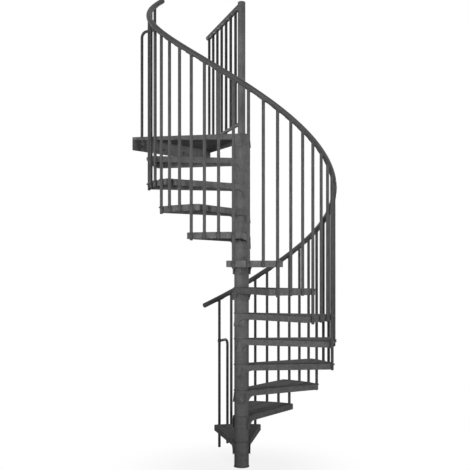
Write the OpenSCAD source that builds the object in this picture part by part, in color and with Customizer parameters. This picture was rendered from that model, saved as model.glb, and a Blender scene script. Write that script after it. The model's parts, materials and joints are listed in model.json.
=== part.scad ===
// Spiral staircase: folded sheet-metal treads stacked round a centre pole, climbing
// clockwise to a corner landing, with round balusters under one helical handrail.
// A bearing is measured clockwise from the back (+Y), seen from above.

/* [Flight] */
// Radius of the ring on which the balusters stand
ring_r = 780; // [650:5:950]
// Rise from one tread to the next
rise = 217; // [190:1:235]
// Turn from one tread to the next, in degrees
tread_turn = 25; // [22:0.5:28]
// Bearing of the first baluster, in degrees
first_bearing = -15.5; // [-45:0.5:45]

/* [Column] */
// Outside diameter of the hubs and spacer tubes
column_d = 124; // [100:1:150]
// Wall of the hubs and spacer tubes
column_wall = 4; // [3:0.5:8]
// Length of the hub tube that hangs below each tread top
hub_len = 112; // [95:1:150]
// How far a tread's collar stands out past its hub
collar_lip = 7; // [4:0.5:15]
// Diameter of the centre pole
pole_d = 64; // [40:1:80]
// Height of the pole's top, below its cap, over the guard rail's centre line
pole_rise = 12; // [0:1:200]
// Height of the domed cap on the pole
cap_h = 14; // [8:1:30]
// How far the base plate stands out past the column
base_lip = 3.5; // [2:0.5:60]
// Thickness of the base plate
base_t = 10; // [6:1:20]

/* [Treads] */
// Thickness of the folded sheet
sheet_t = 4; // [3:0.5:6]
// Depth of a tread's folded edge, measured from its top
flange_d = 50; // [40:1:60]
// Radius of the hollow curve under each side edge, where it meets the hub
gusset_r = 56; // [30:1:60]
// Width of a side edge's blunt lower end, along the edge
gusset_foot = 18; // [4:1:30]
// How far a tread's corner runs past its corner baluster, along the ring
corner_overlap = 58; // [30:1:70]
// Radius of a tread's outer corners, in plan
corner_r = 22; // [6:0.5:24]

/* [Landing] */
// Rise from the last tread to the landing
landing_rise = 207; // [190:1:235]
// Turn of the landing away from the baluster that its near side stands against, in degrees
landing_swing = 0; // [0:0.1:5]
// Angle between the landing's middle line and each side edge, in degrees
landing_side_angle = 28; // [22:0.1:30]
// Distance from the baluster ring out to the landing's outer edge, along its middle line
landing_reach = 25; // [0:1:170]
// Depth of the landing's side edges at the hub
landing_inner_d = 49; // [40:1:110]
// Depth of the landing's side edges at the outer corners
landing_outer_d = 26; // [20:1:70]
// Depth of the fixing plate along the outer edge
fixing_d = 113; // [80:1:160]
// Thickness of the fixing plate
fixing_t = 6; // [4:0.5:12]
// Diameter of the bolt holes in the fixing plate
fixing_hole_d = 12; // [8:0.5:16]
// Distance between bolt holes
fixing_hole_step = 260; // [150:5:290]
// Distance of the bolt holes below the landing's top
fixing_hole_drop = 70; // [55:1:75]

/* [Balusters and handrail] */
// Diameter of a baluster
baluster_d = 25; // [18:0.5:32]
// Length of a corner baluster's end below the edge of the lower tread that it ties
corner_nub_len = 13; // [6:1:25]
// Length of any other baluster's end below the tread edge that it is bolted to
edge_nub_len = 4; // [1:0.5:12]
// Diameter of the handrail
rail_d = 44; // [36:1:55]
// Height of the handrail's centre line over the first tread, at the first baluster
rail_height = 1160; // [1000:5:1250]
// Length of handrail past the first and the last baluster, along the ring
rail_tail = 158; // [60:1:220]
// Lift of the handrail's lower end, for each squared baluster step below the third
low_lift = 2.73; // [0:0.01:4]
// Drop of the handrail's upper end, for each squared baluster step above the thirtieth
top_drop = 0.47; // [0:0.01:1]

/* [Landing guard] */
// Angle from the landing's middle line to the guard, in degrees
guard_angle = 32.5; // [27:0.5:34]
// Height of the guard rail's centre line over the landing
guard_height = 1104; // [900:1:1200]
// Height of the lower bar's centre line over the landing
guard_bar_height = 100; // [50:1:150]
// Diameter of the lower bar
guard_bar_d = 30; // [20:1:40]
// Distance from the column's axis to the guard's first baluster
guard_first = 172; // [120:1:220]
// Distance between the guard's balusters
guard_step = 143; // [120:1:150]
// Length of rail and bar past the guard's last baluster
guard_tail = 52; // [20:1:80]

/* [Stay rods] */
// Distance of the lower stay's foot from the first baluster, which it holds
low_stay_r = 183; // [100:1:260]
// Turn of the lower stay's level leg from the line out through the first baluster, in degrees
low_stay_turn = 38.8; // [0:0.1:45]
// Height of the lower stay's level leg over the floor
low_stay_h = 1000; // [700:5:1100]
// Distance of the upper stay's foot past the landing's fixing plate, on the upper floor
top_stay_edge_gap = 35; // [20:1:60]
// Bearing from the last baluster to the upper stay's foot, in degrees
top_stay_turn = 2.6; // [0:0.1:6]
// Height of the upper stay's level leg over the landing
top_stay_h = 943; // [700:1:1000]
// Radius of a stay's bend, at the rod's centre line
stay_bend_r = 50; // [40:1:60]
// Wall of a stay's ring clamp
clamp_wall = 3.5; // [3:0.5:10]
// Height of a stay's ring clamp
clamp_h = 26; // [12:1:40]

/* [Hidden] */
// Clearance between pieces that seat on each other's round faces
seat_gap = 0.3;
// How far a cut runs past the face that it opens
cut_past = 1;
tread_count = 12;
balusters_per_tread = 3;
baluster_step = tread_turn / balusters_per_tread;
last_baluster = tread_count * balusters_per_tread;
arc_step = ring_r * baluster_step * PI / 180;

hub_r = column_d / 2;
collar_r = hub_r + collar_lip;
pole_bore_r = pole_d / 2 + seat_gap;
landing_top = tread_count * rise + landing_rise;
pole_top = landing_top + guard_height + pole_rise;

// The middle of each side edge's sheet is tangent to the hub
side_offset = hub_r + sheet_t / 2;
tread_r = ring_r - baluster_d / 2 - seat_gap;
tread_half = tread_turn / 2 + corner_overlap / ring_r * 180 / PI;
side_angle = tread_half - asin(side_offset / tread_r);
// Turn of one facet of the gusset's curve, in degrees
gusset_facet = 7.5;
// How far a gusset's faces are set in from those of the edge that it is welded into
web_inset = 0.4;
// How far a corner's arc reaches past the two edges that it joins, so that it cuts them cleanly
corner_cross = 0.3;
corner_in = corner_r - corner_cross;
corner_along = sqrt(pow(tread_r - corner_in, 2) - pow(side_offset - corner_in, 2));

// The landing's near side stands against the last baluster but one
seat_turn = asin((side_offset + baluster_d / 2 + seat_gap) / ring_r);
landing_near_bearing = baluster_bearing(last_baluster - 1) + seat_turn + landing_swing;
landing_bearing = landing_near_bearing + landing_side_angle;
landing_out = ring_r + landing_reach;
landing_half_w = side_offset / cos(landing_side_angle) + landing_out * tan(landing_side_angle);
fixing_hole_count = 4;

guard_bearing = landing_bearing + guard_angle;
guard_count = 7;
guard_len = guard_first + (guard_count - 1) * guard_step + guard_tail;
// Which of the guard's balusters its foot stands under, counted from 0 at the pole
guard_foot_place = 2;

low_lift_from = 3;
top_drop_from = 30;
rail_first = -rail_tail / arc_step;
rail_last = last_baluster + rail_tail / arc_step;
rail_rings = 84;
rail_sides = 16;

steel = "#4b4b4c";
steel_lit = "#5c5c5d";
round_fn = 64;

function tread_bearing(n) = first_bearing + tread_turn / 2 + (n - 1) * tread_turn;
function baluster_bearing(i) = first_bearing + i * baluster_step;
function on_ring(r, bearing) = [r * sin(bearing), r * cos(bearing)];

// Height of the handrail's centre line at baluster step i, and its slope along the ring
function rail_z(i) = rise + rail_height + i * rise / balusters_per_tread
    + low_lift * pow(max(0, low_lift_from - i), 2)
    - top_drop * pow(max(0, i - top_drop_from), 2);
function rail_slope(i) = (rise / balusters_per_tread
    - 2 * low_lift * max(0, low_lift_from - i)
    - 2 * top_drop * max(0, i - top_drop_from)) / arc_step;

module at_bearing(bearing) {
    rotate([0, 0, -bearing]) children();
}

module tube(outer_r, inner_r, h) {
    difference() {
        cylinder(r = outer_r, h = h, $fn = round_fn);
        translate([0, 0, -cut_past]) cylinder(r = inner_r, h = h + 2 * cut_past, $fn = round_fn);
    }
}

// Area between two side lines that pass the axis at a distance and spread by an angle
module wedge_2d(offset_w, angle, back, reach) {
    along = [sin(angle), cos(angle)];
    root = [offset_w * cos(angle), -offset_w * sin(angle)] - back * along;
    tip = root + (back + reach) * along;
    polygon([root, tip, [-tip.x, tip.y], [-root.x, root.y]]);
}

// What a rounded corner takes off a tread's outline
module corner_cut_2d() {
    along = [sin(side_angle), cos(side_angle)];
    across = [cos(side_angle), -sin(side_angle)];
    centre = (side_offset - corner_in) * across + corner_along * along;
    beyond = 3 * corner_r;
    difference() {
        polygon([
            centre,
            centre + beyond * across,
            centre + beyond * (across + along),
            centre + beyond * centre / norm(centre)
        ]);
        translate(centre) circle(r = corner_r, $fn = round_fn);
    }
}

module tread_outline_2d() {
    difference() {
        intersection() {
            wedge_2d(side_offset, side_angle, 0, 2 * tread_r);
            circle(r = tread_r, $fn = 4 * round_fn);
        }
        for (side = [0, 1]) mirror([side, 0]) corner_cut_2d();
    }
}

// Hollow-curved webs welded into two side edges of one depth, where they come down onto the hub
module gussets(angle, depth) {
    curve = [for (a = [0 : gusset_facet : 90]) [gusset_foot, 0] + gusset_r * [1 - sin(a), cos(a) - 1]];
    for (side = [0, 1])
        mirror([side, 0, 0])
            rotate([0, 0, -angle])
                translate([side_offset - sheet_t + web_inset, 0, -depth])
                    rotate([90, 0, 90])
                        linear_extrude(sheet_t - 2 * web_inset) polygon(concat(
                            [[gusset_foot + gusset_r, sheet_t]],
                            curve,
                            [[-column_wall, -gusset_r], [-column_wall, sheet_t]]
                        ));
}

// The hollow under a tread's top sheet, round its hub
module tread_hollow_2d() {
    difference() {
        intersection() {
            wedge_2d(side_offset - sheet_t, side_angle, hub_r, 2 * tread_r);
            circle(r = tread_r - sheet_t, $fn = 4 * round_fn);
        }
        circle(r = hub_r, $fn = round_fn);
    }
}

// A folded pan, open below: top sheet, edge all round and the hub tube under its collar
module tread(n) {
    color(steel)
    at_bearing(tread_bearing(n))
    translate([0, 0, n * rise]) difference() {
        union() {
            translate([0, 0, -flange_d]) linear_extrude(flange_d) tread_outline_2d();
            gussets(side_angle, flange_d);
            translate([0, 0, -sheet_t]) cylinder(r = collar_r, h = sheet_t, $fn = round_fn);
            translate([0, 0, -hub_len]) cylinder(r = hub_r, h = hub_len, $fn = round_fn);
        }
        translate([0, 0, -flange_d - cut_past])
            linear_extrude(flange_d + cut_past - sheet_t) tread_hollow_2d();
        hub_bores();
    }
}

// Wide bore of a hub tube, and the pole's bore through the sheet on top of it
module hub_bores() {
    translate([0, 0, -hub_len - cut_past])
        cylinder(r = hub_r - column_wall, h = hub_len + cut_past - sheet_t, $fn = round_fn);
    translate([0, 0, -hub_len]) cylinder(r = pole_bore_r, h = hub_len + cut_past, $fn = round_fn);
}

module base_plate() {
    color(steel) cylinder(r = hub_r + base_lip, h = base_t, $fn = round_fn);
}

module centre_pole() {
    color(steel_lit) translate([0, 0, base_t])
        cylinder(d = pole_d, h = pole_top - base_t, $fn = round_fn);
}

// Domed cap: a short rim that the dome closes over
module pole_cap() {
    rim_h = cap_h / 3;
    dome_h = cap_h - rim_h;
    dome_r = (pow(pole_d / 2, 2) + pow(dome_h, 2)) / (2 * dome_h);
    color(steel) translate([0, 0, pole_top]) {
        cylinder(d = pole_d, h = rim_h, $fn = round_fn);
        translate([0, 0, rim_h]) intersection() {
            translate([0, 0, dome_h - dome_r]) sphere(r = dome_r, $fn = 2 * round_fn);
            cylinder(d = pole_d, h = dome_h + cut_past, $fn = round_fn);
        }
    }
}

// Tubes that hold the hubs apart, the first of them on the base plate
module column_spacers() {
    color(steel) for (n = [0 : tread_count]) {
        foot = n == 0 ? base_t : n * rise;
        next_top = n == tread_count ? landing_top : (n + 1) * rise;
        translate([0, 0, foot]) tube(hub_r, hub_r - column_wall, next_top - hub_len - foot);
    }
}

module landing_outline_2d() {
    intersection() {
        wedge_2d(side_offset, landing_side_angle, 0, 2 * landing_out);
        translate([-landing_out, -hub_r]) square([2 * landing_out, hub_r + landing_out]);
    }
}

// Two side edges hanging below the sheet, deep at the hub and shallow at the outer corners
module landing_sides() {
    taper = atan((landing_inner_d - landing_outer_d) / landing_out);
    difference() {
        translate([0, 0, -landing_inner_d]) linear_extrude(landing_inner_d) landing_outline_2d();
        translate([0, 0, -landing_inner_d - cut_past])
            linear_extrude(landing_inner_d + cut_past - sheet_t)
                wedge_2d(side_offset - sheet_t, landing_side_angle, hub_r, 2 * landing_out);
        translate([0, 0, -landing_inner_d]) rotate([taper, 0, 0])
            translate([-landing_out, 0, -landing_inner_d])
                cube([2 * landing_out, 2 * landing_out, landing_inner_d]);
    }
}

// Triangular sheet with two tapered side edges, a hub and a hole for the last baluster
module landing() {
    hole_bearing = baluster_bearing(last_baluster) - landing_bearing;
    color(steel)
    at_bearing(landing_bearing)
    translate([0, 0, landing_top]) difference() {
        union() {
            landing_sides();
            gussets(landing_side_angle, landing_inner_d);
            translate([0, 0, -sheet_t]) cylinder(r = collar_r, h = sheet_t, $fn = round_fn);
            translate([0, 0, -hub_len]) cylinder(r = hub_r, h = hub_len, $fn = round_fn);
        }
        hub_bores();
        translate(on_ring(ring_r, hole_bearing)) translate([0, 0, -sheet_t - cut_past])
            cylinder(r = baluster_d / 2 + seat_gap, h = sheet_t + 2 * cut_past, $fn = round_fn);
    }
}

// Plate along the landing's outer edge, bolted to the edge of the upper floor
module landing_fixing_plate() {
    first_hole = -(fixing_hole_count - 1) / 2 * fixing_hole_step;
    color(steel) at_bearing(landing_bearing) translate([0, landing_out, landing_top]) difference() {
        translate([-landing_half_w, 0, -fixing_d]) cube([2 * landing_half_w, fixing_t, fixing_d]);
        for (k = [0 : fixing_hole_count - 1])
            translate([first_hole + k * fixing_hole_step, -cut_past, -fixing_hole_drop])
                rotate([-90, 0, 0])
                    cylinder(d = fixing_hole_d, h = fixing_t + 2 * cut_past, $fn = round_fn);
    }
}

// Foot of the baluster at step i, which is bolted to tread n
function baluster_foot(i, n) = n * rise - flange_d
    - (i % balusters_per_tread == 0 ? corner_nub_len : edge_nub_len);

// A baluster on the ring from a foot height, its top hollowed to the handrail that lies in it
module baluster(i, foot) {
    tilt = atan(rail_slope(i));
    at_bearing(baluster_bearing(i)) translate([0, ring_r, 0]) difference() {
        translate([0, 0, foot]) cylinder(d = baluster_d, h = rail_z(i) - foot, $fn = round_fn);
        translate([0, 0, rail_z(i)]) rotate([0, 90 - tilt, 0])
            cylinder(r = rail_d / 2 + seat_gap, h = 4 * baluster_d, center = true, $fn = round_fn);
    }
}

module first_baluster() {
    color(steel_lit) baluster(0, 0);
}

// The balusters on one tread: those along its edge, and at its rear corner the one that it
// shares with the next tread
module tread_balusters(n) {
    first = (n - 1) * balusters_per_tread;
    color(steel_lit)
    for (i = [first + 1 : first + balusters_per_tread]) baluster(i, baluster_foot(i, n));
}

// One ring of the handrail's section, square to its run
function rail_ring(i) =
    let (
        b = baluster_bearing(i),
        tilt = atan(rail_slope(i)),
        out = [sin(b), cos(b), 0],
        up = [-sin(tilt) * cos(b), sin(tilt) * sin(b), cos(tilt)],
        centre = [ring_r * sin(b), ring_r * cos(b), rail_z(i)]
    )
    [for (k = [0 : rail_sides - 1])
        let (a = 360 * k / rail_sides)
        centre + rail_d / 2 * (cos(a) * out + sin(a) * up)];

module handrail() {
    rings = [for (k = [0 : rail_rings]) rail_ring(rail_first + (rail_last - rail_first) * k / rail_rings)];
    points = [for (ring = rings, p = ring) p];
    walls = [for (k = [0 : rail_rings - 1], s = [0 : rail_sides - 1])
        let (
            here = k * rail_sides,
            next = here + rail_sides,
            t = (s + 1) % rail_sides
        )
        [here + s, next + s, next + t, here + t]];
    low_end = [for (s = [0 : rail_sides - 1]) s];
    top_end = [for (s = [rail_sides - 1 : -1 : 0]) rail_rings * rail_sides + s];
    color(steel_lit) polyhedron(points, concat(walls, [low_end, top_end]), convexity = 8);
}

// A level bar from the pole out along the guard, its inner end hollowed to the pole
module guard_run(d, height) {
    at_bearing(guard_bearing) translate([0, 0, landing_top + height]) difference() {
        rotate([-90, 0, 0]) cylinder(d = d, h = guard_len, $fn = round_fn);
        translate([0, 0, -d]) cylinder(r = pole_bore_r, h = 2 * d, $fn = round_fn);
    }
}

module guard_rail() {
    color(steel_lit) guard_run(rail_d, guard_height);
}

module guard_lower_bar() {
    color(steel_lit) guard_run(guard_bar_d, guard_bar_height);
}

// Room for a level bar of the guard
module guard_hollow(d, height) {
    translate([0, 0, height]) rotate([-90, 0, 0])
        cylinder(r = d / 2 + seat_gap, h = guard_len, $fn = round_fn);
}

// Uprights and one foot, their ends hollowed to the lower bar and the guard rail
module guard_balusters() {
    color(steel_lit) at_bearing(guard_bearing) translate([0, 0, landing_top]) difference() {
        union() {
            for (k = [0 : guard_count - 1])
                translate([0, guard_first + k * guard_step, guard_bar_height])
                    cylinder(d = baluster_d, h = guard_height - guard_bar_height, $fn = round_fn);
            translate([0, guard_first + guard_foot_place * guard_step, 0])
                cylinder(d = baluster_d, h = guard_bar_height, $fn = round_fn);
        }
        guard_hollow(rail_d, guard_height);
        guard_hollow(guard_bar_d, guard_bar_height);
    }
}

// A rod that stands on a foot, bends over and ends in a ring clamp round a baluster
module stay(foot, held, ground, height) {
    run = held - foot;
    leg = norm(run);
    ring_out = baluster_d / 2 + seat_gap + clamp_wall;
    bend_r = min(stay_bend_r, leg - ring_out);
    translate([foot.x, foot.y, ground]) rotate([0, 0, atan2(run.y, run.x)]) difference() {
        union() {
            cylinder(d = baluster_d, h = height - bend_r, $fn = round_fn);
            translate([bend_r, 0, height - bend_r]) rotate([90, 0, 0])
                rotate([0, 0, 90]) rotate_extrude(angle = 90, $fn = round_fn)
                    translate([bend_r, 0]) circle(d = baluster_d, $fn = round_fn);
            translate([bend_r, 0, height]) rotate([0, 90, 0])
                cylinder(d = baluster_d, h = leg - bend_r, $fn = round_fn);
            translate([leg, 0, height - clamp_h / 2]) cylinder(r = ring_out, h = clamp_h, $fn = round_fn);
        }
        translate([leg, 0, height - baluster_d])
            cylinder(r = baluster_d / 2 + seat_gap, h = 2 * baluster_d, $fn = round_fn);
    }
}

module lower_stay() {
    held = on_ring(ring_r, first_bearing);
    foot = held + on_ring(low_stay_r, first_bearing + low_stay_turn);
    color(steel) stay(foot, held, 0, low_stay_h);
}

// The foot stands past the fixing plate, on the upper floor that the landing is bolted to
module upper_stay() {
    last_bearing = baluster_bearing(last_baluster);
    foot_bearing = last_bearing + top_stay_turn;
    foot_out = landing_out + fixing_t + top_stay_edge_gap;
    foot_r = foot_out / cos(foot_bearing - landing_bearing);
    color(steel) stay(
        on_ring(foot_r, foot_bearing),
        on_ring(ring_r, last_bearing),
        landing_top,
        top_stay_h
    );
}

base_plate();
centre_pole();
pole_cap();
column_spacers();
tread(1);  // tread_01
tread(2);  // tread_02
tread(3);  // tread_03
tread(4);  // tread_04
tread(5);  // tread_05
tread(6);  // tread_06
tread(7);  // tread_07
tread(8);  // tread_08
tread(9);  // tread_09
tread(10);  // tread_10
tread(11);  // tread_11
tread(12);  // tread_12
landing();
landing_fixing_plate();
first_baluster();
tread_balusters(1);  // balusters_01
tread_balusters(2);  // balusters_02
tread_balusters(3);  // balusters_03
tread_balusters(4);  // balusters_04
tread_balusters(5);  // balusters_05
tread_balusters(6);  // balusters_06
tread_balusters(7);  // balusters_07
tread_balusters(8);  // balusters_08
tread_balusters(9);  // balusters_09
tread_balusters(10);  // balusters_10
tread_balusters(11);  // balusters_11
tread_balusters(12);  // balusters_12
handrail();
guard_rail();
guard_lower_bar();
guard_balusters();
lower_stay();
upper_stay();
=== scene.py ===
# %% [markdown]
# A steel spiral staircase
#
# This notebook dresses the construction model of a spiral staircase. The model
# already holds every piece at its real size and place, so nothing here is moved
# or resized. What a drawing leaves out comes now: eased folds and rims, bolts,
# saddles, web plates, weld beads, a powder-coated finish, light and a camera.

# %% Load the construction model
import json
import math

import bmesh
import bpy
from mathutils import Matrix, Vector


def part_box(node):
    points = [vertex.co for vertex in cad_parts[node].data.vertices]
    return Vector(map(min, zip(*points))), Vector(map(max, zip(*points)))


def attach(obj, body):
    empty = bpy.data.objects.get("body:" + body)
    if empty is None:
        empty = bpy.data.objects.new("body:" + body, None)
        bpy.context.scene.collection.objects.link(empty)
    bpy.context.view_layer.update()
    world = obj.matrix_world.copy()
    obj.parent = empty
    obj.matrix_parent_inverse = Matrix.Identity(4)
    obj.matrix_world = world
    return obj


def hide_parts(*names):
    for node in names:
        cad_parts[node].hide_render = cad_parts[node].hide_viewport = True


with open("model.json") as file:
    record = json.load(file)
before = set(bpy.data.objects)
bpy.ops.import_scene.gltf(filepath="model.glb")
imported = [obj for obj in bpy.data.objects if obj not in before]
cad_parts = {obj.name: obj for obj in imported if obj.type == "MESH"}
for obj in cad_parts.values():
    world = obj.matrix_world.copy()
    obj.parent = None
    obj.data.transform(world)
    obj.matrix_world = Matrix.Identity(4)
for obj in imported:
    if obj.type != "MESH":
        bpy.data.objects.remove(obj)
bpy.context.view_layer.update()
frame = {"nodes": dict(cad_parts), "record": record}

# %% [markdown]
# Sizes that the rest of the lesson needs
#
# Most of them can be measured on the model itself: the radius of the ring on
# which the balusters stand, the rise of a tread, the thickness of a rod. The few
# that a box can't tell, such as the turn of one tread, are written here once.

# %% Measure the staircase
MM = 0.001
TREADS = 12
BALUSTERS_PER_TREAD = 3
TREAD_TURN = math.radians(25)
STEP_TURN = TREAD_TURN / BALUSTERS_PER_TREAD


def span(node):
    low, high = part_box(node)
    return high - low


def middle(node):
    low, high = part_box(node)
    return (low + high) / 2


first_rod = middle("first_baluster")
RING_R = math.hypot(first_rod.x, first_rod.y)
FIRST_BEARING = math.atan2(first_rod.x, first_rod.y)
ROD_R = span("first_baluster").x / 2
RAIL_R = span("guard_rail").z / 2
HUB_R = span("column_spacers").x / 2
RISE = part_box("tread_02")[1].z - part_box("tread_01")[1].z
LANDING_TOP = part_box("landing")[1].z
HUB_LEN = span("tread_01").z
SHEET_T = 4 * MM
FLANGE_D = 50 * MM
fixing_face = next(m for m in frame["record"]["mounts"] if m["name"] == "landing_fixing_face")
LANDING_BEARING = math.atan2(fixing_face["axis"][0], fixing_face["axis"][1])
print(f"ring radius {RING_R:.3f} m, rise {RISE:.3f} m, handrail {2 * RAIL_R / MM:.0f} mm thick")

# %% [markdown]
# Places on the ring
#
# Many small things stand on the same ring: balusters, bolts, saddles. A place is
# a matrix whose X axis points outwards, whose Z axis points up and whose Y axis
# points back down the flight. The handrail climbs a fixed step per baluster,
# except near its ends, where it is eased towards the level.

# %% Places on the ring and along the handrail
RAIL_START = RISE + 1160 * MM
RAIL_TAIL = 158 * MM
LOW_LIFT, LOW_LIFT_FROM = 2.73 * MM, 3
TOP_DROP, TOP_DROP_FROM = 0.47 * MM, 30
LAST_BALUSTER = TREADS * BALUSTERS_PER_TREAD
STEP_ARC = RING_R * STEP_TURN
STEP_RISE = RISE / BALUSTERS_PER_TREAD


def rail_z(step):
    lift = LOW_LIFT * max(0, LOW_LIFT_FROM - step) ** 2
    drop = TOP_DROP * max(0, step - TOP_DROP_FROM) ** 2
    return RAIL_START + step * STEP_RISE + lift - drop


def rail_tilt(step):
    easing = 2 * LOW_LIFT * max(0, LOW_LIFT_FROM - step) + 2 * TOP_DROP * max(0, step - TOP_DROP_FROM)
    return math.atan((STEP_RISE - easing) / STEP_ARC)


def facing(bearing, radius, height):
    spot = Matrix.Translation((radius * math.sin(bearing), radius * math.cos(bearing), height))
    return spot @ Matrix.Rotation(math.pi / 2 - bearing, 4, "Z")


def on_ring(step, height, tilt=0.0):
    turn = FIRST_BEARING + step * STEP_TURN
    return facing(turn, RING_R, height) @ Matrix.Rotation(-tilt, 4, "X")


print(f"the handrail climbs at {math.degrees(rail_tilt(15)):.1f} degrees")

# %% [markdown]
# The camera
#
# The picture was taken level, from about eye height, a little under seven metres
# in front of the column. The frame is shifted rather than the camera tilted, so
# that upright rods stay parallel, as they do with a view camera.

# %% Place the camera
EYE = (0.002, -6.916, 1.669)
IMAGE_PX = 470
FOCAL_PX = 816.4
OPTICAL_CENTRE_PX = (241.8, 269.4)
SENSOR_MM = 36

lens = bpy.data.cameras.new("eye_level_camera")
lens.sensor_width = SENSOR_MM
lens.lens = FOCAL_PX / IMAGE_PX * SENSOR_MM
lens.shift_x = (IMAGE_PX / 2 - OPTICAL_CENTRE_PX[0]) / IMAGE_PX
lens.shift_y = (OPTICAL_CENTRE_PX[1] - IMAGE_PX / 2) / IMAGE_PX
camera = bpy.data.objects.new("eye_level_camera", lens)
camera.location = EYE
camera.rotation_euler = (math.pi / 2, 0, 0)
bpy.context.scene.collection.objects.link(camera)
bpy.context.scene.camera = camera
print(f"lens {lens.lens:.1f} mm, shift {lens.shift_x:.4f}, {lens.shift_y:.4f}")

# %% [markdown]
# Tools for finishes
#
# A finish is a small network of nodes. One function opens an empty network, one adds a
# node, sets it up and links it, and one turns a colour from the hex code that a paint
# chart gives into the linear values that a shader needs.


# %% Colour and node helpers
def linear(hex_code):
    shares = [int(hex_code[k : k + 2], 16) / 255 for k in (1, 3, 5)]
    return [*(c / 12.92 if c <= 0.04045 else ((c + 0.055) / 1.055) ** 2.4 for c in shares), 1.0]


def new_finish(name):
    material = bpy.data.materials.new(name)
    material.use_nodes = True
    material.node_tree.nodes.clear()
    return material, material.node_tree


def add(tree, kind, inputs=None, **settings):
    made = tree.nodes.new(kind)
    for name, value in settings.items():
        setattr(made, name, value)
    for socket, value in (inputs or {}).items():
        if isinstance(value, bpy.types.NodeSocket):
            tree.links.new(value, made.inputs[socket])
        else:
            made.inputs[socket].default_value = value
    return made


def per_metre(size_mm):
    return 1 / (size_mm * MM)


print("a mid grey in linear light:", [round(c, 3) for c in linear("#808080")])

# %% [markdown]
# Powder coat
#
# The steel is coated with a polyester powder that is baked on. It leaves a nearly
# matt skin with a fine pebbled surface and a slightly uneven tone. The pebbles of
# the real coat are under a millimetre wide, too fine to show from seven metres, so
# the speckle is drawn about ten times as coarse. The skin scatters light so well
# that it mirrors next to nothing, even at a low angle, so its specular level is close
# to none on the sheets and low on the rods and rails, which hands polish. People tread
# on the tops, where a grip coat evens the tone out, so only faces that look up get it.
# That tone is also painted shade: it sits a little below the sheet's mean tone, as the
# tops look when the light falls across them.

# %% Mix the powder coats
SCUFF_MM = 70
PEBBLE_H = 0.4 * MM
POLISH_RANGE = 0.08


def powder_coat(name, shade, pale, speckle_mm, mottle_mm, roughness, gloss, grip_and_top_shade=None):
    material, tree = new_finish(name)
    place = add(tree, "ShaderNodeTexCoord").outputs["Object"]
    mottle = add(tree, "ShaderNodeTexNoise",
                 {"Vector": place, "Scale": per_metre(mottle_mm), "Detail": 3.0, "Roughness": 0.6})
    speckle = add(tree, "ShaderNodeTexNoise",
                  {"Vector": place, "Scale": per_metre(speckle_mm), "Detail": 2.0, "Roughness": 0.7})
    grain = add(tree, "ShaderNodeMix",
                {"Factor": 0.55, "A": mottle.outputs["Fac"], "B": speckle.outputs["Fac"]})
    spread = add(tree, "ShaderNodeMapRange",
                 {"Value": grain.outputs["Result"], "From Min": 0.35, "From Max": 0.65})
    tone = add(tree, "ShaderNodeMix",
               {"Factor": spread.outputs["Result"], "A": linear(shade), "B": linear(pale)},
               data_type="RGBA")
    colour = tone.outputs["Result"]
    # Upward faces take the grip tone, partly a real grip coat and partly painted shade that darkens the
    # tops as light falling across them would.
    if grip_and_top_shade:
        normal = add(tree, "ShaderNodeNewGeometry").outputs["Normal"]
        upward = add(tree, "ShaderNodeSeparateXYZ", {"Vector": normal}).outputs["Z"]
        scuff = add(tree, "ShaderNodeTexNoise",
                    {"Vector": place, "Scale": per_metre(SCUFF_MM), "Detail": 5.0})
        cover = add(tree, "ShaderNodeMapRange",
                    {"Value": scuff.outputs["Fac"], "From Min": 0.3, "From Max": 0.7,
                     "To Min": 0.7, "To Max": 1.0})
        on_top = add(tree, "ShaderNodeMapRange",
                     {"Value": upward, "From Min": 0.8, "From Max": 0.98,
                      "To Max": cover.outputs["Result"]})
        grip_and_painted_shade = add(tree, "ShaderNodeMix",
                     {"Factor": on_top.outputs["Result"], "A": colour, "B": linear(grip_and_top_shade)},
                     data_type="RGBA")
        colour = grip_and_painted_shade.outputs["Result"]
    polish = add(tree, "ShaderNodeMapRange",
                 {"Value": mottle.outputs["Fac"],
                  "To Min": roughness - POLISH_RANGE, "To Max": roughness + POLISH_RANGE})
    pebble = add(tree, "ShaderNodeBump",
                 {"Height": speckle.outputs["Fac"], "Strength": 0.25, "Distance": PEBBLE_H})
    coat = add(tree, "ShaderNodeBsdfPrincipled",
               {"Base Color": colour, "Roughness": polish.outputs["Result"],
                "Normal": pebble.outputs["Normal"], "IOR": 1.5, "Specular IOR Level": gloss})
    add(tree, "ShaderNodeOutputMaterial", {"Surface": coat.outputs["BSDF"]})
    return material


# The grip tone on the tread tops is partly a real grip coat and partly painted shade.
tread_coat = powder_coat("matt_powder_coat_on_sheet", "#4c4c4d", "#69696a", speckle_mm=9, mottle_mm=45,
                         roughness=0.85, gloss=0.01, grip_and_top_shade="#575758")
column_coat = powder_coat("matt_powder_coat_on_column", "#525253", "#666667", speckle_mm=8, mottle_mm=90,
                          roughness=0.8, gloss=0.01)
rod_coat = powder_coat("matt_powder_coat_on_rods", "#404041", "#525253", speckle_mm=6, mottle_mm=60,
                       roughness=0.6, gloss=0.04)
rail_coat = powder_coat("soft_satin_coat_on_handrail", "#3e3e3f", "#4d4d4e", speckle_mm=6, mottle_mm=120,
                        roughness=0.5, gloss=0.06)
print("four powder coats mixed")

# %% [markdown]
# Black nylon
#
# Bolt caps and the heads of the clamp screws are moulded in black nylon, with the faint
# waviness that a cheap mould leaves. A plain black would do from afar, but the waves
# break up the highlights when a cap is seen from close by.

# %% Mix the nylon
WAVE_MM = 5
WAVE_H = 0.2 * MM


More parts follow.
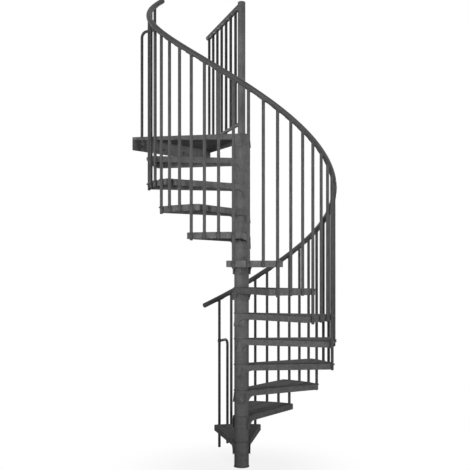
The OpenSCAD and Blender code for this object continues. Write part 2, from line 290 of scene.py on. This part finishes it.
def moulded_nylon(name, shade, pale):
    material, tree = new_finish(name)
    place = add(tree, "ShaderNodeTexCoord").outputs["Object"]
    waves = add(tree, "ShaderNodeTexNoise",
                {"Vector": place, "Scale": per_metre(WAVE_MM), "Detail": 2.0})
    tone = add(tree, "ShaderNodeMix",
               {"Factor": waves.outputs["Fac"], "A": linear(shade), "B": linear(pale)},
               data_type="RGBA")
    dent = add(tree, "ShaderNodeBump",
               {"Height": waves.outputs["Fac"], "Strength": 0.15, "Distance": WAVE_H})
    body = add(tree, "ShaderNodeBsdfPrincipled",
               {"Base Color": tone.outputs["Result"], "Normal": dent.outputs["Normal"],
                "Roughness": 0.38, "IOR": 1.53})
    add(tree, "ShaderNodeOutputMaterial", {"Surface": body.outputs["BSDF"]})
    return material


nylon = moulded_nylon("moulded_black_nylon", "#1c1c1d", "#2a2a2b")
print("nylon mixed")

# %% [markdown]
# From a drawn solid to a made one
#
# A drawn solid has perfectly sharp edges, and no made thing does. The edges could be
# faked in the shading, but a real round catches light from every side. So each solid
# is copied, its loose triangles are merged back into plain faces, and the edges that a
# press, a file or a saw would have rounded are bevelled. A solid that needs none of
# this is only painted.

# %% Helpers that copy, ease and keep a piece
MERGE_DISTANCE = 0.01 * MM
FLAT_ANGLE = math.radians(0.6)
SHARP_ANGLE = math.radians(50)
SMOOTH_ANGLE = math.radians(40)
LEVEL_WITHIN = 0.1 * MM


def blank(node):
    bm = bmesh.new()
    bm.from_mesh(frame["nodes"][node].data)
    bmesh.ops.remove_doubles(bm, verts=bm.verts, dist=MERGE_DISTANCE)
    bmesh.ops.dissolve_limit(bm, angle_limit=FLAT_ANGLE, verts=bm.verts, edges=bm.edges)
    return bm


def is_sharp(edge):
    return edge.is_manifold and edge.calc_face_angle() > SHARP_ANGLE


def is_level_at(edge, height):
    return all(abs(v.co.z - height) < LEVEL_WITHIN for v in edge.verts)


def reach(edge):
    return min(math.hypot(v.co.x, v.co.y) for v in edge.verts)


def ease(bm, edges, radius, segments=3):
    bmesh.ops.bevel(bm, geom=edges, offset=radius, segments=segments, profile=0.5,
                    affect="EDGES", material=-1, clamp_overlap=True)


def keep(name, bm, finish, slot, *stands_for):
    for face in bm.faces:
        face.smooth = True
    mesh = bpy.data.meshes.new(name)
    bm.to_mesh(mesh)
    bm.free()
    if "custom_normal" in mesh.attributes:
        mesh.attributes.remove(mesh.attributes["custom_normal"])
    mesh.set_sharp_from_angle(angle=SMOOTH_ANGLE)
    mesh.materials.clear()
    mesh.materials.append(finish)
    piece = bpy.data.objects.new(name, mesh)
    bpy.context.scene.collection.objects.link(piece)
    weighted = piece.modifiers.new("flat_faces_stay_flat", "WEIGHTED_NORMAL")
    weighted.keep_sharp = True
    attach(piece, "root")
    if stands_for:
        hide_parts(*stands_for)
    print(f"{name}: {len(mesh.polygons)} faces")


def paint(node, finish):
    mesh = frame["nodes"][node].data
    mesh.materials.clear()
    mesh.materials.append(finish)
    print(f"{node}: painted, and kept as it was drawn")


# %% [markdown]
# Treads
#
# Each tread is one sheet folded down all round, with a hub tube welded below it.
# A press leaves a round of about the sheet's own thickness along a fold. The hub
# tube's lower rim is broken too, and that thin groove is what draws a fine line
# round the column under every tread.

# %% Ease the treads
FOLD_R = 3.2 * MM
RIM_R = 2.0 * MM

for n in range(1, TREADS + 1):
    name = f"tread_{n:02d}"
    bm = blank(name)
    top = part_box(name)[1].z
    folds = [e for e in bm.edges if is_sharp(e) and is_level_at(e, top) and reach(e) > HUB_R]
    ease(bm, folds, FOLD_R)
    rims = [e for e in bm.edges if is_sharp(e) and is_level_at(e, top - HUB_LEN)]
    ease(bm, [e for e in rims if reach(e) > HUB_R - RIM_R], RIM_R, 2)
    keep(f"folded_{name}", bm, tread_coat, "tread_paint", name)

# %% [markdown]
# Landing
#
# The landing is folded like the treads, and a deep plate along its outer edge is
# bolted to the floor above. The plate was sawn, so its edges are only broken. Short
# edges belong to holes and curves, and stay as they are.

# %% Ease the landing and its fixing plate
SHORT_EDGE = 5 * MM
SAWN_EDGE_R = 1.2 * MM

bm = blank("landing")
folds = [e for e in bm.edges if is_sharp(e) and is_level_at(e, LANDING_TOP) and reach(e) > HUB_R]
ease(bm, [e for e in folds if e.calc_length() > SHORT_EDGE], FOLD_R)
keep("folded_landing", bm, tread_coat, "tread_paint", "landing")

bm = blank("landing_fixing_plate")
sawn = [e for e in bm.edges if is_sharp(e) and e.calc_length() > SHORT_EDGE]
ease(bm, sawn, SAWN_EDGE_R, 2)
keep("sawn_fixing_plate", bm, tread_coat, "tread_paint", "landing_fixing_plate")

# %% [markdown]
# Column
#
# Tubes slid over the pole hold the hubs apart. Their ends are broken like the
# hubs' rims, so each joint shows as a groove. The pole and its domed cap keep the
# model's own shape.

# %% Ease the column
BASE_EDGE_R = 2.5 * MM

bm = blank("column_spacers")
rims = [e for e in bm.edges if is_sharp(e) and reach(e) > HUB_R - RIM_R]
ease(bm, rims, RIM_R, 2)
keep("eased_column_spacers", bm, column_coat, "column_paint", "column_spacers")

bm = blank("base_plate")
base_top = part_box("base_plate")[1].z
ease(bm, [e for e in bm.edges if is_sharp(e) and is_level_at(e, base_top)], BASE_EDGE_R)
keep("eased_base_plate", bm, column_coat, "column_paint", "base_plate")

for name in ("centre_pole", "pole_cap"):
    paint(name, column_coat)

# %% [markdown]
# Balusters
#
# A baluster is a rod whose top is hollowed to take the handrail. Its lower end is
# closed by a rounded plug. The rims to round are the level, sharp ones in the lower
# half of the piece, so they are easy to pick out.

# %% Round the balusters' ends
PLUG_R = 6.5 * MM
SAME_HEIGHT = 0.02 * MM


def is_level(edge):
    return abs(edge.verts[0].co.z - edge.verts[1].co.z) < SAME_HEIGHT


for name in ["first_baluster"] + [f"balusters_{n:02d}" for n in range(1, TREADS + 1)]:
    bm = blank(name)
    half_way = middle(name).z
    feet = [e for e in bm.edges if is_sharp(e) and is_level(e) and e.verts[0].co.z < half_way]
    ease(bm, feet, PLUG_R, 4)
    keep(f"plugged_{name}", bm, rod_coat, "baluster_paint", name)

# %% [markdown]
# Handrail
#
# The handrail is one tube bent into a helix. The drawn solid is made of flat
# facets, which would show along its curve. A curve object with a round section
# could replace it, but its section would twist near the eased ends. So a circle
# is extruded step by step, and each new ring is carried from one place on the
# rail to the next, which keeps it square to the run. The ends are then closed.

# %% Sweep the handrail
RAIL_SIDES = 32
RAIL_STEPS = 180
RAIL_END_R = 9 * MM

rail_first = -RAIL_TAIL / STEP_ARC
rail_run = LAST_BALUSTER - 2 * rail_first
stations = [rail_first + rail_run * k / RAIL_STEPS for k in range(RAIL_STEPS + 1)]
places = [on_ring(s, rail_z(s), rail_tilt(s)) for s in stations]
bm = bmesh.new()
upright = Matrix.Rotation(math.pi / 2, 4, "X")
bmesh.ops.create_circle(bm, cap_ends=True, radius=RAIL_R, segments=RAIL_SIDES, matrix=places[0] @ upright)
ring = list(bm.edges)
for here, there in zip(places, places[1:]):
    grown = bmesh.ops.extrude_edge_only(bm, edges=ring)["geom"]
    ring = [g for g in grown if isinstance(g, bmesh.types.BMEdge)]
    ring = [e for e in ring if all(v in grown for v in e.verts)]
    moved = {v for e in ring for v in e.verts}
    bmesh.ops.transform(bm, matrix=there @ here.inverted(), verts=list(moved))
bmesh.ops.contextual_create(bm, geom=ring)
bmesh.ops.recalc_face_normals(bm, faces=bm.faces)
ease(bm, [e for e in bm.edges if is_sharp(e)], RAIL_END_R, 4)
keep("swept_handrail", bm, rail_coat, "handrail_finish", "handrail")

# %% [markdown]
# Landing guard
#
# The guard is welded up from the same tubes: a rail like the handrail, a thinner
# bar and seven uprights hollowed to both. Only the outer ends of rail and bar are
# open to view, so those two rims are rounded like the handrail's own ends. They are
# the sharp edges that lie furthest from the column.

# %% Round the guard's ends
BAR_END_R = 6 * MM

for name, end_r, finish, slot in (("guard_rail", RAIL_END_R, rail_coat, "handrail_finish"),
                                  ("guard_lower_bar", BAR_END_R, rod_coat, "baluster_paint")):
    bm = blank(name)
    far = max(reach(e) for e in bm.edges)
    ease(bm, [e for e in bm.edges if is_sharp(e) and reach(e) > far - RAIL_R], end_r, 4)
    keep(f"capped_{name}", bm, finish, slot, name)
paint("guard_balusters", rod_coat)

# %% [markdown]
# Stay rods
#
# Two rods hold the ends of the railing still: each stands on a floor, bends over and
# ends in a ring that clamps a baluster. The foot is rounded like a baluster's, and
# the ring has a small broken edge, as a turned piece has.

# %% Round the stays
RING_EDGE_R = 1.5 * MM

for name in ("lower_stay", "upper_stay"):
    bm = blank(name)
    foot_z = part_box(name)[0].z
    ease(bm, [e for e in bm.edges if is_sharp(e) and is_level_at(e, foot_z)], PLUG_R, 4)
    ring_rims = [e for e in bm.edges if is_sharp(e) and is_level(e) and e.verts[0].co.z > middle(name).z]
    ease(bm, ring_rims, RING_EDGE_R, 2)
    keep(f"eased_{name}", bm, rod_coat, "baluster_paint", name)

# %% [markdown]
# Turned parts and how they are strewn
#
# Bolts, caps and washers are all turned: half a profile, spun round an axis. With
# six steps the same spin gives a hexagon, which is a nut. One pattern is made for
# each kind of thing, and a copy of it is set down at every place where the real
# staircase has one. All copies together are one mesh, so hundreds of small parts
# stay a handful of pieces.

# %% Helpers for turned parts
POLE_MERGE = 0.005 * MM
FLIP = Matrix.Rotation(math.pi, 4, "Z")


def turned(profile, sides):
    bm = bmesh.new()
    points = [bm.verts.new((along, 0, out)) for along, out in profile]
    lines = [bm.edges.new(pair) for pair in zip(points, points[1:])]
    bmesh.ops.spin(bm, geom=points + lines, cent=(0, 0, 0), axis=(1, 0, 0),
                   angle=2 * math.pi, steps=sides, use_merge=True)
    bmesh.ops.remove_doubles(bm, verts=bm.verts, dist=POLE_MERGE)
    bmesh.ops.recalc_face_normals(bm, faces=bm.faces)
    return bm


def barrel(start, end, radius, rim, sides):
    return turned([(start, 0), (start, radius), (end - rim, radius), (end, radius - rim), (end, 0)], sides)


def domed(foot, shoulder, radius, height, steps, sides):
    turns = [math.pi / 2 * k / steps for k in range(steps + 1)]
    dome = [(shoulder + height * math.sin(a), radius * math.cos(a)) for a in turns]
    return turned([(foot, 0), (foot, radius), *dome], sides)


def strewn(patterns, places):
    bm = bmesh.new()
    for pattern in patterns:
        mesh = bpy.data.meshes.new("pattern")
        pattern.to_mesh(mesh)
        pattern.free()
        for place in places:
            placed = len(bm.verts)
            bm.from_mesh(mesh)
            bm.verts.ensure_lookup_table()
            bmesh.ops.transform(bm, matrix=place, verts=bm.verts[placed:])
        bpy.data.meshes.remove(mesh)
    return bm


print("turning tools ready")

# %% [markdown]
# Bolts through the balusters
#
# Each tread is bolted to four balusters, and each corner baluster ties two treads
# together. From outside only a domed cap shows, just below the tread's top. Inside
# the folded edge are a washer, a nut and the end of the bolt, which can be seen from
# below.

# %% Set the caps and nuts
BOLT_DROP = 11 * MM
CAP_R, CAP_NECK, CAP_SUNK = 7 * MM, 4 * MM, 2.4 * MM
BOLT_R, BOLT_PAST = 4 * MM, 4 * MM
NUT_R, NUT_H = 7.5 * MM, 6.5 * MM
WASHER_R, WASHER_H = 9 * MM, 1.6 * MM

bolt_places = [on_ring(step, n * RISE - BOLT_DROP)
               for n in range(1, TREADS + 1)
               for step in range((n - 1) * BALUSTERS_PER_TREAD, n * BALUSTERS_PER_TREAD + 1)]
cap = domed(ROD_R - CAP_SUNK, ROD_R + CAP_NECK, CAP_R, CAP_R, steps=5, sides=14)
keep("domed_bolt_caps", strewn([cap], bolt_places), nylon, "baluster_paint")

inside = ROD_R + SHEET_T
nut_seat = inside + WASHER_H
nut_top = nut_seat + NUT_H
washer = barrel(inside, nut_seat, WASHER_R, rim=0.4 * MM, sides=16)
nut = barrel(nut_seat, nut_top, NUT_R, rim=1 * MM, sides=6)
bolt_end = barrel(inside, nut_top + BOLT_PAST, BOLT_R, rim=0.8 * MM, sides=10)
nut_places = [p @ FLIP for p in bolt_places]
keep("flange_nuts", strewn([washer, nut, bolt_end], nut_places), rod_coat, "baluster_paint")

# %% [markdown]
# Saddles
#
# Where a baluster meets the handrail, a thin curved plate spreads the seat along the
# rail. In the picture it shows as a small step on the rail's underside, beside each
# rod. A rectangle is set just under the rail and spun part of the way round the
# rail's own axis, which gives a plate that hugs it.

# %% Bend the saddles
SADDLE_LEN, SADDLE_T, SADDLE_GAP = 78 * MM, 2.6 * MM, 0.1 * MM
SADDLE_EDGE_R = 0.8 * MM
SADDLE_SWEEP = math.radians(104)
GUARD_FIRST, GUARD_STEP, GUARD_COUNT = 172 * MM, 143 * MM, 7
GUARD_ANGLE = math.radians(32.5)
GUARD_BEARING = LANDING_BEARING + GUARD_ANGLE


def saddle():
    bm = bmesh.new()
    inner, outer = RAIL_R + SADDLE_GAP, RAIL_R + SADDLE_T
    half = SADDLE_LEN / 2
    outline = ((-half, -inner), (half, -inner), (half, -outer), (-half, -outer))
    section = bm.faces.new([bm.verts.new((0, along, up)) for along, up in outline])
    begin = Matrix.Rotation(-SADDLE_SWEEP / 2, 4, "Y")
    bmesh.ops.transform(bm, matrix=begin, verts=bm.verts)
    bmesh.ops.spin(bm, geom=[section, *section.edges, *section.verts], cent=(0, 0, 0), axis=(0, 1, 0),
                   angle=SADDLE_SWEEP, steps=10)
    bmesh.ops.recalc_face_normals(bm, faces=bm.faces)
    ease(bm, [e for e in bm.edges if is_sharp(e)], SADDLE_EDGE_R, 1)
    return bm


rail_seats = [on_ring(s, rail_z(s), rail_tilt(s)) for s in range(LAST_BALUSTER + 1)]
guard_z = middle("guard_rail").z
quarter = Matrix.Rotation(math.pi / 2, 4, "Z")
guard_seats = [facing(GUARD_BEARING, GUARD_FIRST + k * GUARD_STEP, guard_z) @ quarter
               for k in range(GUARD_COUNT)]
keep("rail_saddles", strewn([saddle()], rail_seats + guard_seats), rod_coat, "baluster_paint")

# %% [markdown]
# Side edges of the pans
#
# Treads and landing are pans with two straight side edges, which touch the column and
# spread outwards. The middle of the sheet is tangent to the hub. So the edge of any pan is
# found from the pan's bearing, its height and the angle by which its sides spread, and a
# small part can be placed by how far along the edge and how far out from the axis it is.

# %% Find the side edges
CORNER_OVERLAP = 58 * MM
SEAT_GAP = 0.3 * MM
LANDING_SIDE_ANGLE = math.radians(28)
HANDS = ((1, "left"), (-1, "right"))


def on_side_edge(pan, side, along, out):
    bearing, top, angle = pan
    edge = facing(bearing, 0, top) @ Matrix.Rotation(side * angle, 4, "Z")
    return edge @ Matrix.Translation((along, side * out, 0))


side_out = HUB_R + SHEET_T / 2
tread_reach = RING_R - ROD_R - SEAT_GAP
tread_half = TREAD_TURN / 2 + CORNER_OVERLAP / RING_R
tread_side_angle = tread_half - math.asin(side_out / tread_reach)
tread_pans = [(FIRST_BEARING + (n - 0.5) * TREAD_TURN, n * RISE, tread_side_angle)
              for n in range(1, TREADS + 1)]
landing_pan = (LANDING_BEARING, LANDING_TOP, LANDING_SIDE_ANGLE)
print(f"a tread's sides spread by {math.degrees(tread_side_angle):.1f} degrees each")

# %% [markdown]
# Web plates on the hubs
#
# Each side edge of a tread runs down onto the hub as a flat web. The web leans a little
# outwards, so that its end stands clear of the hub and goes on past it, with a slanted
# edge. The dark slot behind that end is the slanting line that shows on the column below
# every tread. A web is two outlines, the thick body and the thin end. The hollow corner
# is rounded with a vertex bevel, the face is extruded to the thickness of the plate, and
# a shear gives the lean.

# %% Cut the web plates
WEB_T = 3 * MM
WEB_PAST, WEB_SLOT, WEB_FOOT, WEB_TIP = 20 * MM, 16 * MM, 26 * MM, 100 * MM
WEB_DROP = HUB_LEN - 3 * MM
WEB_HOLLOW_R = WEB_DROP - FLANGE_D - 1 * MM
WEB_STAND_OFF = 12 * MM
WEB_LAP, WEB_TUCK = 2 * MM, 0.1 * MM


def plate(outline, hollow_corner=None):
    bm = bmesh.new()
    corners = [bm.verts.new((along, -WEB_T / 2, up)) for along, up in outline]
    bm.faces.new(corners)
    if hollow_corner:
        bmesh.ops.bevel(bm, geom=[corners[hollow_corner]], offset=WEB_HOLLOW_R, segments=10, profile=0.5,
                        affect="VERTICES", material=-1)
    near_side = list(bm.verts)
    grown = bmesh.ops.extrude_face_region(bm, geom=list(bm.faces))["geom"]
    far_side = [g for g in grown if isinstance(g, bmesh.types.BMVert)]
    bmesh.ops.translate(bm, vec=(0, WEB_T, 0), verts=far_side)
    bmesh.ops.recalc_face_normals(bm, faces=bm.faces)
    return bm, near_side, far_side


def lean(bm, corners):
    shear = Matrix.Identity(4)
    shear[1][0] = -WEB_STAND_OFF / WEB_TIP
    shear[1][3] = WEB_STAND_OFF
    bmesh.ops.transform(bm, matrix=shear, verts=corners)


def web():
    body, _, outside = plate([(WEB_SLOT, -SHEET_T), (WEB_SLOT, -WEB_DROP), (WEB_FOOT, -WEB_DROP),
                              (WEB_FOOT, -FLANGE_D), (WEB_TIP, -FLANGE_D), (WEB_TIP, -SHEET_T)], 3)
    lean(body, outside)
    lap = WEB_SLOT + WEB_LAP
    end, inside, outside = plate([(0, -SHEET_T), (-WEB_PAST, -WEB_DROP), (lap, -WEB_DROP), (lap, -SHEET_T)])
    lean(end, inside + outside)
    bmesh.ops.translate(end, vec=(0, -WEB_TUCK, 0), verts=end.verts)
    return [body, end]


def mirrored(patterns, side):
    for bm in patterns:
        bmesh.ops.scale(bm, vec=(1, side, 1), verts=bm.verts)
        bmesh.ops.recalc_face_normals(bm, faces=bm.faces)
    return patterns


for side, hand in HANDS:
    web_places = [on_side_edge(pan, side, 0, HUB_R) for pan in [*tread_pans, landing_pan]]
    keep(f"hub_web_plates_{hand}", strewn(mirrored(web(), side), web_places), tread_coat, "tread_paint")

# %% [markdown]
# Closed corners
#
# At a tread's rounded corners the two folded edges just miss each other and leave a
# narrow slot. A curved strip is welded in behind it, and the slot no longer shows. A
# boolean union with the tread would close it too, but would leave stray edges along the
# fold. So the strip is a piece of its own: a rectangle, spun a quarter turn round the
# corner's own axis.

# %% Close the corners of the treads
CORNER_R, CORNER_CROSS = 22 * MM, 0.3 * MM
STRIP_INSET = 0.6 * MM


def corner_strip(side):
    bm = bmesh.new()
    inner, outer = CORNER_R - SHEET_T, CORNER_R - STRIP_INSET
    upper, lower = -SHEET_T, STRIP_INSET - FLANGE_D
    outline = ((outer, upper), (outer, lower), (inner, lower), (inner, upper))
    section = bm.faces.new([bm.verts.new((out, 0, up)) for out, up in outline])
    bmesh.ops.spin(bm, geom=[section, *section.edges, *section.verts], cent=(0, 0, 0), axis=(0, 0, 1),
                   angle=side * math.pi / 2, steps=8)
    bmesh.ops.recalc_face_normals(bm, faces=bm.faces)
    return bm


corner_in = CORNER_R - CORNER_CROSS
corner_out = side_out - corner_in
corner_along = math.sqrt((tread_reach - corner_in) ** 2 - corner_out**2)
for side, hand in HANDS:
    corner_places = [on_side_edge(pan, side, corner_along, corner_out) for pan in tread_pans]
    keep(f"corner_strips_{hand}", strewn([corner_strip(side)], corner_places), tread_coat, "tread_paint")

# %% [markdown]
# Weld beads
#
# Collar and hub are welded all round. A bead is a thin ring of round section. The coat
# runs over the welds, so they take the finish of the tread.

# %% Lay the weld beads
BEAD_R, BEAD_SIDES = 2.5 * MM, 8

hub_tops = [n * RISE for n in range(1, TREADS + 1)] + [LANDING_TOP]
upright_axis = Matrix.Rotation(-math.pi / 2, 4, "Y")
ring_arc = [2 * math.pi * k / BEAD_SIDES for k in range(BEAD_SIDES + 1)]
collar_bead = turned([(BEAD_R * math.sin(a), HUB_R + BEAD_R * math.cos(a)) for a in ring_arc], 40)
collar_places = [Matrix.Translation((0, 0, top - SHEET_T - BEAD_R / 2)) @ upright_axis for top in hub_tops]
keep("collar_weld_beads", strewn([collar_bead], collar_places), tread_coat, "tread_paint")

# %% [markdown]
# Bolts of the landing
#
# Four bolts hold the landing's deep plate against the edge of the floor above. Their
# hexagon heads sit on washers on the side towards the stairs.

# %% Set the landing bolts
PLATE_T = 6 * MM
PLATE_BOLT_DROP = 70 * MM
PLATE_BOLT_STEP = 260 * MM
PLATE_BOLTS = 4
HEAD_R, HEAD_H = 10.5 * MM, 7.5 * MM
HEAD_WASHER_R, HEAD_WASHER_H = 12 * MM, 2.5 * MM
SHANK_R, SHANK_SUNK = 5.7 * MM, 0.5 * MM

plate_r = Vector(fixing_face["pos_m"]).xy.length
plate_middle = facing(LANDING_BEARING, plate_r, LANDING_TOP - PLATE_BOLT_DROP)
offsets = [(k - (PLATE_BOLTS - 1) / 2) * PLATE_BOLT_STEP for k in range(PLATE_BOLTS)]
plate_places = [plate_middle @ Matrix.Translation((0, o, 0)) @ FLIP for o in offsets]
head_seat = PLATE_T + HEAD_WASHER_H
head_washer = barrel(PLATE_T, head_seat, HEAD_WASHER_R, rim=0.5 * MM, sides=20)
head = barrel(head_seat, head_seat + HEAD_H, HEAD_R, rim=1 * MM, sides=6)
shank = barrel(SHANK_SUNK, head_seat + SHANK_SUNK, SHANK_R, rim=0.5 * MM, sides=16)
keep("landing_bolts", strewn([head_washer, head, shank], plate_places), rod_coat, "baluster_paint")

# %% [markdown]
# Screws of the stay clamps
#
# A small screw with a domed head locks each ring on its baluster, on the side away
# from the rod.

# %% Set the clamp screws
CLAMP_R = 16.3 * MM
SCREW_R, SCREW_NECK, SCREW_SUNK = 5 * MM, 1 * MM, 2 * MM

screw = domed(CLAMP_R - SCREW_SUNK, CLAMP_R + SCREW_NECK, SCREW_R, SCREW_R / 2, steps=4, sides=12)
screw_places = []
for name, step in (("lower_stay", 0), ("upper_stay", LAST_BALUSTER)):
    leg_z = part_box(name)[1].z - ROD_R
    held = on_ring(step, leg_z).translation
    away = held - middle(name)
    screw_places.append(Matrix.Translation(held) @ Matrix.Rotation(math.atan2(away.y, away.x), 4, "Z"))
keep("clamp_screws", strewn([screw], screw_places), nylon, "baluster_paint")

# %% [markdown]
# Floor, light and background
#
# The floor is a plain pale disc that fades into a white background, so only the
# shadow near the base shows. Two soft lamps beside the camera light the upright
# faces, one on each side picks out the rods, two behind keep the back readable and a
# weak one above keeps the tops from going black. Most stand at about eye level, so tops
# and undersides stay darker than the sides. Together they are as bright as a plain
# studio, where a colour looks about as it was mixed. What the camera and reflections
# see behind the staircase is plain white.

# %% Lay the floor
FLOOR_R = 6.0


def seen_as_background(tree):
    ray = add(tree, "ShaderNodeLightPath").outputs
    direct = add(tree, "ShaderNodeMath",
                 {0: ray["Is Camera Ray"], 1: ray["Is Glossy Ray"]}, operation="MAXIMUM")
    seen = add(tree, "ShaderNodeMath",
               {0: direct.outputs["Value"], 1: ray["Is Transmission Ray"]}, operation="MAXIMUM")
    return seen.outputs["Value"]


bm = bmesh.new()
bmesh.ops.create_circle(bm, cap_ends=True, radius=FLOOR_R, segments=96)
floor_mesh = bpy.data.meshes.new("pale_floor")
bm.to_mesh(floor_mesh)
bm.free()
floor = bpy.data.objects.new("pale_floor", floor_mesh)
bpy.context.scene.collection.objects.link(floor)

pale, tree = new_finish("pale_floor")
place = add(tree, "ShaderNodeTexCoord").outputs["Object"]
out = add(tree, "ShaderNodeVectorMath", {0: place}, operation="LENGTH")
fade = add(tree, "ShaderNodeMapRange",
           {"Value": out.outputs["Value"], "From Min": 0.2, "From Max": 1.2, "To Min": 0.86, "To Max": 1.0},
           interpolation_type="SMOOTHSTEP")
share = add(tree, "ShaderNodeMath",
            {0: fade.outputs["Result"], 1: seen_as_background(tree)}, operation="MULTIPLY")
matt = add(tree, "ShaderNodeBsdfDiffuse", {"Color": linear("#dcdbd8")})
white = add(tree, "ShaderNodeEmission", {"Color": (1, 1, 1, 1), "Strength": 1.0})
blend = add(tree, "ShaderNodeMixShader",
            {0: share.outputs["Value"], 1: matt.outputs["BSDF"], 2: white.outputs["Emission"]})
add(tree, "ShaderNodeOutputMaterial", {"Surface": blend.outputs["Shader"]})
floor_mesh.materials.append(pale)
print("floor laid")


# %% Hang the lamps and set the background
def soft_lamp(name, place, aim, size, watts, spread):
    lamp = bpy.data.lights.new(name, "AREA")
    lamp.shape = "RECTANGLE"
    lamp.size, lamp.size_y = size
    lamp.energy = watts
    lamp.spread = math.radians(spread)
    stand = bpy.data.objects.new(name, lamp)
    stand.location = place
    stand.rotation_euler = (Vector(aim) - Vector(place)).to_track_quat("-Z", "Y").to_euler()
    bpy.context.scene.collection.objects.link(stand)


soft_lamp("front_right_softbox", (2.2, -6.7, 1.9), aim=(0, 0, 2.4), size=(1.0, 1.6), watts=46, spread=64)
soft_lamp("front_left_softbox", (-1.5, -7.0, 1.9), aim=(0, 0, 2.6), size=(1.0, 1.6), watts=26, spread=64)
soft_lamp("right_softbox", (5.0, 0.6, 2.4), aim=(0, 0, 2.4), size=(1.2, 2.0), watts=12, spread=60)
soft_lamp("left_softbox", (-5.0, -1.6, 2.6), aim=(0, 0, 3.0), size=(1.2, 2.0), watts=21, spread=56)
soft_lamp("back_right_softbox", (3.0, 6.4, 2.7), aim=(0, 0, 2.0), size=(1.2, 1.6), watts=30, spread=60)
soft_lamp("back_left_softbox", (-3.0, 6.4, 2.7), aim=(0, 0, 2.0), size=(1.2, 1.6), watts=30, spread=60)
soft_lamp("top_softbox", (0.3, 0.6, 6.8), aim=(0, 0, 1.5), size=(1.6, 1.6), watts=8, spread=50)

world = bpy.data.worlds.new("white_studio")
bpy.context.scene.world = world
world.use_nodes = True
tree = world.node_tree
tree.nodes.clear()
ambient = add(tree, "ShaderNodeBackground", {"Color": (1, 1, 1, 1), "Strength": 0.05})
plain_white = add(tree, "ShaderNodeBackground", {"Color": (1, 1, 1, 1), "Strength": 1.0})
sky = add(tree, "ShaderNodeMixShader",
          {0: seen_as_background(tree), 1: ambient.outputs["Background"],
           2: plain_white.outputs["Background"]})
add(tree, "ShaderNodeOutputWorld", {"Surface": sky.outputs["Shader"]})
bpy.context.scene.view_settings.view_transform = "Standard"
print("lamps hung")
